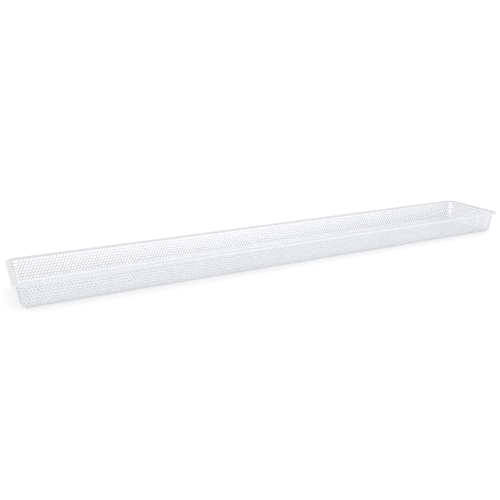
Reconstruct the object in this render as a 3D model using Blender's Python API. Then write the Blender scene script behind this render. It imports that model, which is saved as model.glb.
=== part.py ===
"""Baguette tray: a long, shallow basket of fine perforated sheet with a folded rim strip over an edge wire.

Frame: metres, origin on the bench at the middle of the underside, +X along the tray, +Y across it, +Z up.
The 3 mm perforations of the basket are too many for a design solid, so its walls and floor are plain here.
"""

import math

import bmesh
import bpy

# Overall size, over the rim
LENGTH = 0.780
WIDTH = 0.115
HEIGHT = 0.035

# Basket, drawn from one sheet
SHEET = 0.0010
END_DRAFT = 0.002
SIDE_DRAFT = 0.004
FLOOR_BEND = 0.006
FLANGE_BEND = 0.0008
FLANGE_TOP = 0.0339
FLANGE_TIP_INSET = 0.0026

# Rim strip, folded over the basket's flange
RIM_WIDTH = 0.006
RIM_HEIGHT = 0.0032
RIM_CORNER = 0.013
STRIP = 0.0005
NOSE_RADIUS = 0.0014
TOP_LEG_DROP = 0.0003
TOP_LEG_INSET = 0.0056
LOWER_LEG_INSET = 0.0048

# Wire inside the rim's nose
WIRE_RADIUS = 0.0007
WIRE_INSET = 0.0015

# Clearance kept between pieces that touch
GAP = 0.0003

CORNER_STEPS = 8
BEND_STEPS = 5
NOSE_STEPS = 5
WIRE_SIDES = 8


def clear_scene():
    for item in list(bpy.data.objects):
        bpy.data.objects.remove(item, do_unlink=True)


def metal(name, colour, roughness):
    material = bpy.data.materials.new(name)
    material.use_nodes = True
    shader = material.node_tree.nodes["Principled BSDF"]
    shader.inputs["Base Color"].default_value = (*colour, 1.0)
    shader.inputs["Roughness"].default_value = roughness
    shader.inputs["Metallic"].default_value = 1.0
    return material


def corner(index, inset_x, inset_y, radius):
    """Points of one rounded plan corner; 0 is +X+Y and they run anticlockwise."""
    side_x, side_y = ((1, 1), (-1, 1), (-1, -1), (1, -1))[index]
    centre_x = side_x * (LENGTH / 2 - inset_x - radius)
    centre_y = side_y * (WIDTH / 2 - inset_y - radius)
    points = []
    for step in range(CORNER_STEPS + 1):
        turn = math.radians(90) * (index + step / CORNER_STEPS)
        points.append((centre_x + radius * math.cos(turn), centre_y + radius * math.sin(turn)))
    return points


def outline(inset_x, inset_y, radius):
    return [point for index in range(4) for point in corner(index, inset_x, inset_y, radius)]


def add_ring(mesh, plan, height):
    return [mesh.verts.new((x, y, height)) for x, y in plan]


def join_rings(mesh, lower, upper, closed=True):
    """Quads between two rings; they face outwards where the rings run anticlockwise and upper is above."""
    count = len(lower)
    for i in range(count if closed else count - 1):
        j = (i + 1) % count
        mesh.faces.new((lower[i], lower[j], upper[j], upper[i]))


def make_object(name, mesh, material):
    bmesh.ops.recalc_face_normals(mesh, faces=mesh.faces)
    data = bpy.data.meshes.new(name)
    mesh.to_mesh(data)
    mesh.free()
    data.shade_smooth()
    data.set_sharp_from_angle(angle=math.radians(35))
    data.materials.append(material)
    item = bpy.data.objects.new(name, data)
    bpy.context.scene.collection.objects.link(item)
    return item


def floor_bend(bend, lift):
    """The turn from floor to wall, as (inset, height) pairs; lift is 0 outside and SHEET inside."""
    points = []
    for step in range(BEND_STEPS + 1):
        turn = math.radians(90) * (1 - step / BEND_STEPS)
        points.append((lift + bend * (1 - math.cos(turn)), lift + bend * (1 - math.sin(turn))))
    return points


def flange_bend(bend, inset, top):
    """The turn from wall to flange, as (inset, height) pairs, from the wall up and outwards."""
    points = []
    for step in range(BEND_STEPS + 1):
        turn = math.radians(90) * step / BEND_STEPS
        points.append((inset - bend * (1 - math.cos(turn)), top - bend * (1 - math.sin(turn))))
    return points


def basket_outline(inset, height):
    """Plan outline of the basket at this height: the walls lean in towards the floor by their draft."""
    lean = 1 - height / HEIGHT
    inset_x = inset + END_DRAFT * lean
    inset_y = inset + SIDE_DRAFT * lean
    return outline(inset_x, inset_y, max(RIM_CORNER - inset, SHEET))


def make_basket(material):
    flange_under = FLANGE_TOP - SHEET
    outside = [(RIM_WIDTH + inset, height) for inset, height in floor_bend(FLOOR_BEND + SHEET, 0.0)]
    outside += flange_bend(FLANGE_BEND, RIM_WIDTH, flange_under)
    outside.append((FLANGE_TIP_INSET, flange_under))
    inside = [(FLANGE_TIP_INSET, FLANGE_TOP)]
    inside += reversed(flange_bend(FLANGE_BEND + SHEET, RIM_WIDTH + SHEET, FLANGE_TOP))
    inside += [(RIM_WIDTH + inset, height) for inset, height in reversed(floor_bend(FLOOR_BEND, SHEET))]
    mesh = bmesh.new()
    rings = [add_ring(mesh, basket_outline(inset, height), height) for inset, height in outside + inside]
    for lower, upper in zip(rings, rings[1:]):
        join_rings(mesh, lower, upper)
    mesh.faces.new(rings[0])
    mesh.faces.new(rings[-1])
    return make_object("basket", mesh, material)


def nose(radius, inset, top, bottom):
    """The strip's rounded outer edge, as (inset, height) pairs, from its top to its bottom."""
    points = []
    for centre, start in ((top - radius, 90), (bottom + radius, 0)):
        for step in range(NOSE_STEPS + 1):
            turn = math.radians(start - 90 * step / NOSE_STEPS)
            points.append((inset + radius * (1 - math.cos(turn)), centre + radius * math.sin(turn)))
    return points


def strip_section():
    """The folded strip's closed section, as (inset, height) pairs."""
    bottom = HEIGHT - RIM_HEIGHT
    flange_under = FLANGE_TOP - SHEET
    outer = nose(NOSE_RADIUS, 0.0, HEIGHT, bottom)
    inner = nose(NOSE_RADIUS - STRIP, STRIP, HEIGHT - STRIP, bottom + STRIP)
    lower_leg = [(LOWER_LEG_INSET, flange_under - GAP - STRIP), (LOWER_LEG_INSET, flange_under - GAP)]
    top_leg_under = HEIGHT - TOP_LEG_DROP - STRIP
    top_leg = [(TOP_LEG_INSET, top_leg_under), (TOP_LEG_INSET, HEIGHT - TOP_LEG_DROP)]
    return outer + lower_leg + inner[::-1] + top_leg


def rim_outline(inset, corners):
    return [point for index in corners for point in corner(index, inset, inset, RIM_CORNER - inset)]


def straight_outline(inset, side):
    reach = LENGTH / 2 - RIM_CORNER - GAP
    y = side * (WIDTH / 2 - inset)
    return [(-side * reach * end, y) for end in (-1, 1)]


def make_strip(name, plan, material):
    """A length of rim strip: its section carried along plan(inset), with both ends closed."""
    mesh = bmesh.new()
    rows = [add_ring(mesh, plan(inset), height) for inset, height in strip_section()]
    for row, following in zip(rows, rows[1:] + rows[:1]):
        join_rings(mesh, row, following, closed=False)
    mesh.faces.new([row[0] for row in rows])
    mesh.faces.new([row[-1] for row in rows])
    return make_object(name, mesh, material)


def make_wire(material):
    centre = HEIGHT - RIM_HEIGHT / 2
    mesh = bmesh.new()
    rings = []
    for side in range(WIRE_SIDES):
        turn = math.radians(360) * side / WIRE_SIDES
        inset = WIRE_INSET + WIRE_RADIUS * math.cos(turn)
        plan = outline(inset, inset, RIM_CORNER - inset)
        rings.append(add_ring(mesh, plan, centre + WIRE_RADIUS * math.sin(turn)))
    for ring, following in zip(rings, rings[1:] + rings[:1]):
        join_rings(mesh, ring, following)
    return make_object("rim_wire", mesh, material)


def main():
    clear_scene()
    satin = metal("satin_aluminium", (0.86, 0.87, 0.885), 0.38)
    strip = metal("rim_aluminium", (0.84, 0.85, 0.865), 0.32)
    steel = metal("edge_wire_steel", (0.60, 0.60, 0.61), 0.35)
    make_basket(satin)
    make_strip("rim_front", lambda inset: straight_outline(inset, -1), strip)
    make_strip("rim_back", lambda inset: straight_outline(inset, 1), strip)
    make_strip("rim_end_right", lambda inset: rim_outline(inset, (3, 0)), strip)
    make_strip("rim_end_left", lambda inset: rim_outline(inset, (1, 2)), strip)
    make_wire(steel)


main()
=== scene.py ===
import math

import bmesh
import bpy
import numpy as np
from mathutils import Matrix, Vector
from mathutils.geometry import delaunay_2d_cdt


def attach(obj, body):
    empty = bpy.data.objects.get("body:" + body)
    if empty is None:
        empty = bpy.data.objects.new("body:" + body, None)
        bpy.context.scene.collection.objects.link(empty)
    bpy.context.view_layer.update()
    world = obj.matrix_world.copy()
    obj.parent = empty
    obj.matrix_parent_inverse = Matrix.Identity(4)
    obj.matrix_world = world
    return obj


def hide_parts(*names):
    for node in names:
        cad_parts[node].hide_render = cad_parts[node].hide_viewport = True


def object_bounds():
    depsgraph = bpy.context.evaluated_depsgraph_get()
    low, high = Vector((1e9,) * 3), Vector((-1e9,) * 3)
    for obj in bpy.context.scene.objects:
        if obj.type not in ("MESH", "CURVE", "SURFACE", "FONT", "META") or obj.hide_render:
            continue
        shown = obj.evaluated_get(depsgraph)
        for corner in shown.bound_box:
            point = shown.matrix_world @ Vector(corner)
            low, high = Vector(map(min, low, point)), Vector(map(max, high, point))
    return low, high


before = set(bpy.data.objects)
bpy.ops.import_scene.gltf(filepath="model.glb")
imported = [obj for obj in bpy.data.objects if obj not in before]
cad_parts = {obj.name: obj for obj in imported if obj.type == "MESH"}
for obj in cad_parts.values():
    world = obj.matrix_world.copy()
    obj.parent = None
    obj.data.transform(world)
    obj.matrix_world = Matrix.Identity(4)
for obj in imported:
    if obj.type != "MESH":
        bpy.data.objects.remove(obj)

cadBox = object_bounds()
lowCorner, highCorner = cadBox
trayLength = highCorner[0] - lowCorner[0]
trayWidth = highCorner[1] - lowCorner[1]
trayHeight = highCorner[2] - lowCorner[2]
print("frame loaded, tray is", round(trayLength, 4), round(trayWidth, 4), round(trayHeight, 4))

# the basket: one perforated sheet, with its bends measured at the middle of its thickness
basket = {
    "sheet": 0.0010,
    "holeRadius": 0.00152,
    "endDraft": 0.002,  # how far each wall leans in, over the whole height
    "sideDraft": 0.004,
    "floorBend": 0.0065,
    "flangeBend": 0.0013,
    "flangeHeight": 0.0334,
    "floorBendPoints": 17,
    "flangeBendPoints": 7,
    "wallInset": 0.0065,  # from the rim's outer edge in to the wall
    "flangeTipInset": 0.0027,
    "rimCorner": 0.013,  # plan radius of the rim's outer corner
    "sideSteps": 174,  # holes along a side, across an end, and round a corner
    "endSteps": 22,
    "cornerSteps": 3,
    "rowSpacing": 0.00379,
    "holedRows": 9,
    "plainRows": 6,  # unholed rows that carry the sheet over into the rim
    "plainStart": 0.0026,
    "plainSpill": 0.0004,
    "loopRow": 3,  # the first row that runs all round with a full set of holes
    "flatMargin": 0.006,  # pieces part this far inside a flat stretch
}

coreX = trayLength / 2 - basket["rimCorner"] - basket["endDraft"]
coreY = trayWidth / 2 - basket["rimCorner"] - basket["sideDraft"]


def wallSection():
    # (distance along the sheet, inset from the rim, height), from the floor's edge to the flange's tip
    inset, bend = basket["wallInset"], basket["floorBend"]
    lip, top = basket["flangeBend"], basket["flangeHeight"]
    middle = basket["sheet"] / 2
    points = []
    for turn in np.linspace(math.pi / 2, 0, basket["floorBendPoints"]):
        points.append((inset + bend * (1 - math.cos(turn)), middle + bend * (1 - math.sin(turn))))
    for turn in np.linspace(0, math.pi / 2, basket["flangeBendPoints"]):
        points.append((inset - lip * (1 - math.cos(turn)), top - lip * (1 - math.sin(turn))))
    points.append((basket["flangeTipInset"], top))
    points = np.array(points)
    along = np.concatenate([[0.0], np.cumsum(np.hypot(*np.diff(points, axis=0).T))])
    return along, points[:, 0], points[:, 1]


sectionAlong, sectionInset, sectionHeight = wallSection()


def onTray(flat):
    # folds points of the flat blank up into the tray; what lies past the core rectangle goes up the section
    flat = np.asarray(flat, float)
    over = np.maximum(np.abs(flat) - (coreX, coreY), 0.0)
    along = np.hypot(over[:, 0], over[:, 1])
    inset = np.interp(along, sectionAlong, sectionInset)
    height = np.interp(along, sectionAlong, sectionHeight)
    lean = 1 - height / trayHeight
    half = np.array([trayLength / 2, trayWidth / 2]) - basket["rimCorner"]
    middle = half - lean[:, None] * (basket["endDraft"], basket["sideDraft"])
    direction = over / np.maximum(along, 1e-9)[:, None]
    reach = (basket["rimCorner"] - inset)[:, None] * direction
    inside = np.minimum(np.abs(flat) / (coreX, coreY), 1.0) * middle
    plan = np.sign(flat) * (inside + reach)
    return np.column_stack([plan, height])


def aroundCore(step):
    # a place on the way round: the point on the floor's edge, and the direction up the wall from it
    side, end, corner = basket["sideSteps"], basket["endSteps"], basket["cornerSteps"]
    half = side + end + 2 * corner
    flip = 1 if step % (2 * half) < half else -1
    step = step % half
    if step < side:
        return flip * (step / side * 2 - 1) * coreX, -flip * coreY, 0.0, -float(flip)
    if step < side + corner:
        turn = math.pi / 2 * (step - side) / corner
        return flip * coreX, -flip * coreY, flip * math.sin(turn), -flip * math.cos(turn)
    if step < side + corner + end:
        return flip * coreX, flip * ((step - side - corner) / end * 2 - 1) * coreY, float(flip), 0.0
    turn = math.pi / 2 * (step - side - corner - end) / corner
    return flip * coreX, flip * coreY, flip * math.cos(turn), flip * math.sin(turn)


def bandPoint(step, along):
    x, y, dx, dy = aroundCore(step)
    return x + dx * along, y + dy * along


def ringSteps():
    return 2 * (basket["sideSteps"] + basket["endSteps"] + 2 * basket["cornerSteps"])


def floorPoints():
    # holes of the flat floor, in staggered rows along it
    pitch = 2 * coreX / basket["sideSteps"]
    points = []
    for row in range(basket["endSteps"] + 1):
        y = (row / basket["endSteps"] * 2 - 1) * coreY
        stagger = row % 2
        count = basket["sideSteps"] + 1 - stagger
        points += [(-coreX + pitch * (i + stagger / 2), y) for i in range(count)]
    return points


def bendPoints():
    # the two rows in the bend: as the wall's rows on the straights, with one hole at each corner
    points = []
    side, end, corner = basket["sideSteps"], basket["endSteps"], basket["cornerSteps"]
    for row in (1, 2):
        along = row * basket["rowSpacing"]
        for quarter in range(4):
            start = quarter // 2 * (side + end + 2 * corner) + quarter % 2 * (side + corner)
            count = end if quarter % 2 else side
            shift = row % 2 / 2
            points += [bandPoint(start + i + shift, along) for i in range(count + 1 - row % 2)]
            points.append(bandPoint(start + count + corner / 2, along))
    return points


def sheetCells():
    # every hole's middle with the outline of the patch of sheet round it
    loopRow, spacing, steps = basket["loopRow"], basket["rowSpacing"], ringSteps()
    inner = floorPoints() + bendPoints()
    alongs = [row * spacing for row in range(loopRow, basket["holedRows"] + 1)]
    firstPlain, lastPlain = alongs[-1] + basket["plainStart"], sectionAlong[-1] + basket["plainSpill"]
    alongs += list(np.linspace(firstPlain, lastPlain, basket["plainRows"]))
    points = list(inner)
    band = []
    for row, along in enumerate(alongs, start=loopRow):
        band.append([(step + row % 2 / 2, along) for step in range(steps)])
        points += [bandPoint(*place) for place in band[-1]]
    loop = list(range(len(inner), len(inner) + steps))
    edges = [(loop[i], loop[(i + 1) % steps]) for i in range(steps)]
    made = delaunay_2d_cdt([Vector(p) for p in points[: len(inner) + steps]], edges, [loop], 1, 1e-7)
    order = [origins[0] for origins in made[3]]
    triangles = [tuple(order[i] for i in face) for face in made[2]]
    centres = [np.mean([points[i] for i in face], axis=0) for face in triangles]
    places = [None] * len(triangles)
    for r in range(len(band) - 1):
        base, above = len(inner) + r * steps, len(inner) + (r + 1) * steps
        odd = (loopRow + r) % 2
        for i in range(steps):
            j = (i + 1) % steps
            lower = (base + i, base + j, above + (j if odd else i))
            upper = (base + (i if odd else j), above + j, above + i)
            low, high = band[r][i][1], band[r + 1][i][1]
            stepLow, stepHigh = i + odd / 2, i + (1 - odd) / 2
            places.append((stepLow + 0.5, (2 * low + high) / 3))
            places.append((stepHigh + 0.5, (low + 2 * high) / 3))
            triangles += [lower, upper]
            centres += [bandPoint(*places[-2]), bandPoint(*places[-1])]
    holedEnd = len(inner) + steps * (basket["holedRows"] - loopRow + 1)
    return points, triangles, np.array(centres), places, holedEnd


def halfway(a, b, centres, places):
    if places[a] is None or places[b] is None:
        return (centres[a] + centres[b]) / 2
    first, second = places[a][0], places[b][0]
    whole = ringSteps()
    second += round((first - second) / whole) * whole
    return np.array(bandPoint((first + second) / 2, (places[a][1] + places[b][1]) / 2))


def regionOf(x, y):
    margin = basket["flatMargin"]
    if abs(x) > coreX - margin:
        return "basket_end_right" if x > 0 else "basket_end_left"
    if abs(y) > coreY - margin:
        return "basket_wall_back" if y > 0 else "basket_wall_front"
    return "basket_floor_right" if x > 0 else "basket_floor_left"


def basketPatches():
    # one mesh of patches for each piece, a face to a hole, with holed marked on the faces
    points, triangles, centres, places, holedEnd = sheetCells()
    around = [[] for _ in points]
    for index, face in enumerate(triangles):
        for corner in face:
            around[corner].append(index)
    neighbours = {}
    for index, face in enumerate(triangles):
        for a, b in zip(face, face[1:] + face[:1]):
            neighbours.setdefault((min(a, b), max(a, b)), []).append(index)
    inRing = [0] * len(points)
    for (a, b), pair in neighbours.items():
        if len(pair) == 2:
            inRing[a] += 1
            inRing[b] += 1
    regions = {}
    for corner, fan in enumerate(around):
        if len(fan) < 3 or inRing[corner] != len(fan):
            continue
        home = np.array(points[corner])
        away = centres[fan] - home
        fan = [fan[i] for i in np.argsort(np.arctan2(away[:, 1], away[:, 0]))]
        outline = []
        for a, b in zip(fan, fan[1:] + fan[:1]):
            outline += [(a, a), (min(a, b), max(a, b))]
        regions.setdefault(regionOf(*home), []).append((outline, corner < holedEnd, home))
    meshes = {}
    for name, patches in regions.items():
        keys = sorted({key for outline, holed, home in patches for key in outline})
        index = {key: i for i, key in enumerate(keys)}
        flat = [centres[a] if a == b else halfway(a, b, centres, places) for a, b in keys]
        mesh = bpy.data.meshes.new(name)
        faces = [[index[key] for key in outline] for outline, holed, home in patches]
        mesh.from_pydata(onTray(flat).tolist(), [], faces)
        holedMarks = [holed for outline, holed, home in patches]
        mesh.attributes.new("holed", "BOOLEAN", "FACE").data.foreach_set("value", holedMarks)
        middles = onTray([home for outline, holed, home in patches])
        mesh.attributes.new("middle", "FLOAT_VECTOR", "FACE").data.foreach_set("vector", middles.ravel())
        meshes[name] = mesh
        print("  ", name, len(patches), "patches")
    return meshes


def perforationTree(material):
    # opens a round hole in every patch that is marked holed
    tree = bpy.data.node_groups.new("perforation", "GeometryNodeTree")
    sockets = tree.interface
    sockets.new_socket("Geometry", in_out="INPUT", socket_type="NodeSocketGeometry")
    sockets.new_socket("Hole Radius", in_out="INPUT", socket_type="NodeSocketFloat")
    sockets.new_socket("Geometry", in_out="OUTPUT", socket_type="NodeSocketGeometry")
    node = tree.nodes.new
    link = tree.links.new
    source, result = node("NodeGroupInput"), node("NodeGroupOutput")
    holed = node("GeometryNodeInputNamedAttribute")
    holed.data_type = "BOOLEAN"
    holed.inputs["Name"].default_value = "holed"
    middle = node("GeometryNodeInputNamedAttribute")
    middle.data_type = "FLOAT_VECTOR"
    middle.inputs["Name"].default_value = "middle"
    extrude = node("GeometryNodeExtrudeMesh")
    extrude.mode = "FACES"
    extrude.inputs["Individual"].default_value = True
    extrude.inputs["Offset Scale"].default_value = 0.0
    here = node("GeometryNodeInputPosition")
    outwards, unit, reach, place = [node("ShaderNodeVectorMath") for _ in range(4)]
    outwards.operation = "SUBTRACT"
    unit.operation = "NORMALIZE"
    reach.operation = "SCALE"
    place.operation = "ADD"
    move = node("GeometryNodeSetPosition")
    edge = node("GeometryNodeStoreNamedAttribute")
    edge.data_type = "FLOAT"
    edge.domain = "POINT"
    edge.inputs["Name"].default_value = "holeEdge"
    edge.inputs["Value"].default_value = 1.0
    opened = node("GeometryNodeDeleteGeometry")
    opened.domain = "FACE"
    realise = node("GeometryNodeRealizeInstances")
    finish = node("GeometryNodeSetMaterial")
    finish.inputs["Material"].default_value = material
    link(source.outputs["Geometry"], extrude.inputs["Mesh"])
    link(holed.outputs["Attribute"], extrude.inputs["Selection"])
    link(here.outputs[0], outwards.inputs[0])
    link(middle.outputs["Attribute"], outwards.inputs[1])
    link(outwards.outputs["Vector"], unit.inputs[0])
    link(unit.outputs["Vector"], reach.inputs[0])
    link(source.outputs["Hole Radius"], reach.inputs["Scale"])
    link(reach.outputs["Vector"], place.inputs[0])
    link(middle.outputs["Attribute"], place.inputs[1])
    link(extrude.outputs["Mesh"], move.inputs["Geometry"])
    link(extrude.outputs["Top"], move.inputs["Selection"])
    link(place.outputs["Vector"], move.inputs["Position"])
    link(move.outputs["Geometry"], edge.inputs["Geometry"])
    link(extrude.outputs["Top"], edge.inputs["Selection"])
    link(edge.outputs["Geometry"], opened.inputs["Geometry"])
    link(extrude.outputs["Top"], opened.inputs["Selection"])
    link(opened.outputs["Geometry"], realise.inputs["Geometry"])
    link(realise.outputs["Geometry"], finish.inputs["Geometry"])
    link(finish.outputs["Geometry"], result.inputs["Geometry"])
    return tree


def finishMesh(name, mesh, material, sharpAngle=35):
    mesh.name = name
    mesh.materials.clear()
    mesh.materials.append(material)
    mesh.shade_smooth()
    mesh.set_sharp_from_angle(angle=math.radians(sharpAngle))
    piece = bpy.data.objects.new(name, mesh)
    bpy.context.scene.collection.objects.link(piece)
    return piece


def perforatedPiece(name, patches, tree, material):
    draft = bpy.data.objects.new(name + "_draft", patches)
    bpy.context.scene.collection.objects.link(draft)
    holes = draft.modifiers.new("perforation", "NODES")
    radius = next(s for s in tree.interface.items_tree if s.name == "Hole Radius")
    holes.node_group = tree
    holes[radius.identifier] = basket["holeRadius"]
    thicken = draft.modifiers.new("sheet", "SOLIDIFY")
    thicken.thickness = basket["sheet"]
    thicken.offset = 0.0
    thicken.use_even_offset = True
    mesh = bpy.data.meshes.new_from_object(draft.evaluated_get(bpy.context.evaluated_depsgraph_get()))
    bpy.data.objects.remove(draft)
    return finishMesh(name, mesh, material)


# the rim strip: sheet folded over the basket's flange, round an edge wire
rim = {
    "height": 0.0032,
    "corner": 0.013,
    "strip": 0.0005,
    "nose": 0.0014,
    "topDrop": 0.0003,
    "topReach": 0.0065,
    "hem": 0.0005,  # the top leg's edge is turned down on to the sheet
    "hemDrop": 0.00075,
    "edgeEase": 0.0001,
    "lowerReach": 0.0048,
    "flangeUnder": 0.0329,
    "gap": 0.0003,
    "joint": 0.00004,
    "cornerSteps": 24,
    "noseSteps": 9,
    "straightSteps": 12,
}


def noseTurn(radius, inset, top, bottom):
    steps = rim["noseSteps"]
    points = []
    for middle, start in ((top - radius, 90), (bottom + radius, 0)):
        for step in range(steps + 1):
            turn = math.radians(start - 90 * step / steps)
            points.append((inset + radius * (1 - math.cos(turn)), middle + radius * math.sin(turn)))
    return points


def rimSection():
    r = rim
    bottom = trayHeight - r["height"]
    outer = noseTurn(r["nose"], 0.0, trayHeight, bottom)
    inner = noseTurn(r["nose"] - r["strip"], r["strip"], trayHeight - r["strip"], bottom + r["strip"])
    lowerTop = r["flangeUnder"] - r["gap"]
    topUnder = trayHeight - r["topDrop"] - r["strip"]
    lower = [(r["lowerReach"], lowerTop - r["strip"]), (r["lowerReach"], lowerTop)]
    hemStart, hemEnd = r["topReach"] - r["hem"], r["topReach"]
    top, ease = topUnder + r["strip"], r["edgeEase"]
    upper = [(hemStart - 2 * ease, topUnder), (hemStart, topUnder - r["hemDrop"] / 2)]
    upper += [(hemEnd, topUnder - r["hemDrop"]), (hemEnd, top - 2 * ease)]
    upper += [(hemEnd - ease, top - 0.6 * ease), (hemEnd - 3 * ease, top)]
    return outer + lower + inner[::-1] + upper


def rimPlan(name, inset):
    radius = rim["corner"] - inset
    acrossX = trayLength / 2 - rim["corner"]
    acrossY = trayWidth / 2 - rim["corner"]
    if name in ("rim_front", "rim_back"):
        side = -1 if name == "rim_front" else 1
        reach = acrossX - rim["joint"]
        steps = rim["straightSteps"]
        y = side * (acrossY + radius)
        return [(-side * reach * (2 * i / steps - 1), y) for i in range(steps + 1)]
    side = 1 if name == "rim_end_right" else -1
    plan = []
    for end in (-1, 1):
        for step in range(rim["cornerSteps"] + 1):
            turn = math.pi / 2 * (step / rim["cornerSteps"] - (1 if end < 0 else 0))
            x, y = acrossX + radius * math.cos(turn), end * acrossY + radius * math.sin(turn)
            plan.append((side * x, side * y))
    return plan


def rimPiece(name, material):
    mesh = bmesh.new()
    rows = []
    for inset, height in rimSection():
        rows.append([mesh.verts.new((x, y, height)) for x, y in rimPlan(name, inset)])
    for row, following in zip(rows, rows[1:] + rows[:1]):
        for i in range(len(row) - 1):
            mesh.faces.new((row[i], row[i + 1], following[i + 1], following[i]))
    mesh.faces.new([row[0] for row in rows])
    mesh.faces.new([row[-1] for row in rows])
    bmesh.ops.recalc_face_normals(mesh, faces=mesh.faces)
    data = bpy.data.meshes.new(name + "_fine")
    mesh.to_mesh(data)
    mesh.free()
    return finishMesh(name + "_fine", data, material)


# the finishes: satin rolled metal on the sheet and the strip, plain drawn wire
rolledLook = {
    "cloudScale": 14.0,
    "cloudDetail": 4.0,
    "grainDetail": 3.0,
    "glossRange": (0.7, 1.3),  # of cloud and grain together, over which the roughness runs
    "grainStrength": 0.35,
    "edgeStrength": 0.5,
    "edgeFall": 3.0,  # how close to a hole its rolled edge starts
}

sheetFinish = {
    "colour": (0.785, 0.795, 0.82),
    "paler": (0.845, 0.855, 0.88),
    "roughness": (0.30, 0.46),
    "grain": (60.0, 900.0, 900.0),
    "grainDepth": 0.00001,
    "edgeDepth": 0.00025,
}

stripFinish = {
    "colour": (0.74, 0.75, 0.765),
    "paler": (0.79, 0.80, 0.815),
    "roughness": (0.40, 0.54),
    "grain": (60.0, 1200.0, 1200.0),
    "grainDepth": 0.000012,
    "edgeDepth": 0.0,
}

wireFinish = {
    "colour": (0.52, 0.52, 0.53),
    "paler": (0.62, 0.62, 0.63),
    "roughness": (0.28, 0.45),
    "grain": (400.0, 400.0, 400.0),
    "grainDepth": 0.00001,
    "edgeDepth": 0.0,
}


def rolledMetal(name, finish):
    # satin rolled metal: cloudy tone, drawn-out grain, and soft handling marks in the gloss
    material = bpy.data.materials.new(name)
    material.use_nodes = True
    nodes, link = material.node_tree.nodes, material.node_tree.links.new
    shader = nodes["Principled BSDF"]
    shader.inputs["Metallic"].default_value = 1.0
    place = nodes.new("ShaderNodeTexCoord")
    cloud = nodes.new("ShaderNodeTexNoise")
    cloud.inputs["Scale"].default_value = rolledLook["cloudScale"]
    cloud.inputs["Detail"].default_value = rolledLook["cloudDetail"]
    link(place.outputs["Object"], cloud.inputs["Vector"])
    stretch = nodes.new("ShaderNodeMapping")
    stretch.inputs["Scale"].default_value = finish["grain"]
    link(place.outputs["Object"], stretch.inputs["Vector"])
    grain = nodes.new("ShaderNodeTexNoise")
    grain.inputs["Scale"].default_value = 1.0
    grain.inputs["Detail"].default_value = rolledLook["grainDetail"]
    link(stretch.outputs["Vector"], grain.inputs["Vector"])
    tone = nodes.new("ShaderNodeMix")
    tone.data_type = "RGBA"
    tone.inputs[6].default_value = (*finish["colour"], 1.0)
    tone.inputs[7].default_value = (*finish["paler"], 1.0)
    link(cloud.outputs["Fac"], tone.inputs[0])
    link(tone.outputs[2], shader.inputs["Base Color"])
    blend = nodes.new("ShaderNodeMath")
    blend.operation = "ADD"
    link(cloud.outputs["Fac"], blend.inputs[0])
    link(grain.outputs["Fac"], blend.inputs[1])
    gloss = nodes.new("ShaderNodeMapRange")
    gloss.inputs["From Min"].default_value = rolledLook["glossRange"][0]
    gloss.inputs["From Max"].default_value = rolledLook["glossRange"][1]
    gloss.inputs["To Min"].default_value = finish["roughness"][0]
    gloss.inputs["To Max"].default_value = finish["roughness"][1]
    link(blend.outputs[0], gloss.inputs["Value"])
    link(gloss.outputs["Result"], shader.inputs["Roughness"])
    surface = nodes.new("ShaderNodeBump")
    surface.inputs["Strength"].default_value = rolledLook["grainStrength"]
    surface.inputs["Distance"].default_value = finish["grainDepth"]
    link(grain.outputs["Fac"], surface.inputs["Height"])
    link(surface.outputs["Normal"], shader.inputs["Normal"])
    if finish["edgeDepth"]:
        edge = nodes.new("ShaderNodeAttribute")
        edge.attribute_name = "holeEdge"
        fall = nodes.new("ShaderNodeMath")
        fall.operation = "POWER"
        fall.inputs[1].default_value = rolledLook["edgeFall"]
        link(edge.outputs["Fac"], fall.inputs[0])
        rolled = nodes.new("ShaderNodeBump")
        rolled.invert = True
        rolled.inputs["Strength"].default_value = rolledLook["edgeStrength"]
        rolled.inputs["Distance"].default_value = finish["edgeDepth"]
        link(fall.outputs[0], rolled.inputs["Height"])
        link(surface.outputs["Normal"], rolled.inputs["Normal"])
        link(rolled.outputs["Normal"], shader.inputs["Normal"])
    return material


sheetMetal = rolledMetal("satinSheet", sheetFinish)
stripMetal = rolledMetal("satinStrip", stripFinish)
wireMetal = rolledMetal("drawnWire", wireFinish)

holes = perforationTree(sheetMetal)
for pieceName, patches in basketPatches().items():
    piece = perforatedPiece(pieceName, patches, holes, sheetMetal)
    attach(piece, "root")
    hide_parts("basket")
    print("basket piece", pieceName, len(piece.data.polygons), "faces")

for stripName in ("rim_front", "rim_back", "rim_end_left", "rim_end_right"):
    piece = rimPiece(stripName, stripMetal)
    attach(piece, "root")
    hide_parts(stripName)
print("rim made")

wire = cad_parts["rim_wire"]
wire.data.materials.clear()
wire.data.materials.append(wireMetal)

# the studio: pale floor, soft light and the camera
studio = {
    "floorSize": 8.0,
    "floorColour": (0.74, 0.74, 0.74, 1.0),
    "floorGlow": 0.28,  # a light table, lit a little from below
    "skyStrength": 1.04,
    "eye": (-0.4148, -0.7318, 0.2677),
    "heading": 25.96,  # degrees from straight along the width
    "dip": 17.22,
    "tilt": -0.41,
    "lens": 41.472,
    "sensor": 36.0,
    "lights": {  # place, aim, size and power
        "keyLight": ((0.65, -1.4, 0.35), (0.0, 0.0, 0.0), (1.1, 0.5), 2.0),
        "topLight": ((0.0, -0.3, 1.8), (0.0, -0.3, 0.0), (3.0, 2.0), 3.0),
    },
}


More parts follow.
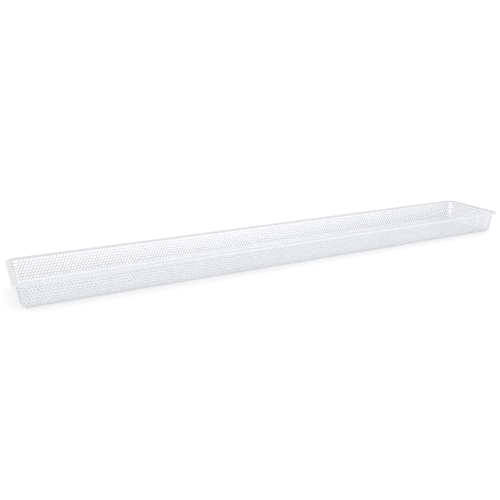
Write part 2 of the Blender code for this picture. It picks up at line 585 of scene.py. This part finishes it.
def makeFloor():
    half = studio["floorSize"] / 2
    mesh = bpy.data.meshes.new("studioFloor")
    corners = [(-half, -half, 0), (half, -half, 0), (half, half, 0), (-half, half, 0)]
    mesh.from_pydata(corners, [], [(0, 1, 2, 3)])
    material = bpy.data.materials.new("paleFloor")
    material.use_nodes = True
    shader = material.node_tree.nodes["Principled BSDF"]
    shader.inputs["Base Color"].default_value = studio["floorColour"]
    shader.inputs["Roughness"].default_value = 0.9
    shader.inputs["Emission Color"].default_value = (1.0, 1.0, 1.0, 1.0)
    shader.inputs["Emission Strength"].default_value = studio["floorGlow"]
    mesh.materials.append(material)
    ground = bpy.data.objects.new("studioFloor", mesh)
    bpy.context.scene.collection.objects.link(ground)


def makeLight(name, place, aim, size, power):
    data = bpy.data.lights.new(name, "AREA")
    data.shape = "RECTANGLE"
    data.size, data.size_y = size
    data.energy = power
    lamp = bpy.data.objects.new(name, data)
    lamp.location = place
    lamp.rotation_euler = (Vector(aim) - Vector(place)).to_track_quat("-Z", "Y").to_euler()
    bpy.context.scene.collection.objects.link(lamp)


def makeCamera():
    data = bpy.data.cameras.new("camera")
    data.sensor_width = studio["sensor"]
    data.lens = studio["lens"]
    data.clip_start = 0.01
    eye = bpy.data.objects.new("camera", data)
    heading, dip, tilt = [math.radians(studio[key]) for key in ("heading", "dip", "tilt")]
    onward = math.cos(dip)
    forward = Vector((math.sin(heading) * onward, math.cos(heading) * onward, -math.sin(dip)))
    level = Vector((math.cos(heading), -math.sin(heading), 0.0))
    upright = level.cross(forward)
    right = level * math.cos(tilt) + upright * math.sin(tilt)
    up = upright * math.cos(tilt) - level * math.sin(tilt)
    rows = [(right[i], up[i], -forward[i], studio["eye"][i]) for i in range(3)]
    eye.matrix_world = Matrix(rows + [(0, 0, 0, 1)])
    bpy.context.scene.collection.objects.link(eye)
    bpy.context.scene.camera = eye


def makeSky():
    sky = bpy.data.worlds.new("studioSky")
    sky.use_nodes = True
    backdrop = sky.node_tree.nodes["Background"]
    backdrop.inputs["Color"].default_value = (1.0, 1.0, 1.0, 1.0)
    backdrop.inputs["Strength"].default_value = studio["skyStrength"]
    bpy.context.scene.world = sky


makeFloor()
for lightName, (place, aim, size, power) in studio["lights"].items():
    makeLight(lightName, place, aim, size, power)
makeCamera()
makeSky()
bpy.context.scene.view_settings.view_transform = "Standard"
print("studio ready")
